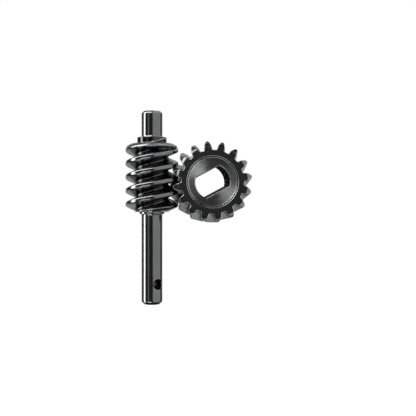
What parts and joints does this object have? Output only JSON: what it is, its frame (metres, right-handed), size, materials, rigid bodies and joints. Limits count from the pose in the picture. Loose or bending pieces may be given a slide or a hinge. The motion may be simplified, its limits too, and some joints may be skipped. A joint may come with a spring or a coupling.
{
  "type": "worm gear set",
  "caption": "Two-start steel worm turned in one piece with its shaft, in mesh with a helical worm wheel that has a double-D bore.",
  "frame": {"origin": "centre of the wheel's double-D bore, midway across the wheel's width", "axes": "+Z parallel to the worm's axis, towards its short plain end; -Y along the wheel's axis, out of its front face; -X towards the worm"},
  "size_m": [0.0181, 0.0076, 0.0277],
  "materials": {
    "worm_steel": "polished, blackened to gunmetal",
    "wheel_steel": "satin turned faces, blackened to gunmetal",
    "datum_steel": "ground"
  },
  "bodies": {
    "gearbox_datum": {"pivot_datum": "datum_steel"},
    "worm": {"worm_shaft": "worm_steel"},
    "wheel": {"worm_wheel": "wheel_steel"}
  },
  "joints": [
    {"name": "worm_spin", "type": "hinge", "parent": "gearbox_datum", "child": "worm", "pos_m": [-0.00844, 0, 0], "axis": [0, 0, 1], "continuous": true},
    {"name": "wheel_spin", "type": "hinge", "parent": "gearbox_datum", "child": "wheel", "pos_m": [0, 0, 0], "axis": [0, -1, 0], "continuous": true}
  ],
  "couplings": [
    {"joint": "wheel_spin", "follows": "worm_spin", "ratio": 0.125}
  ]
}
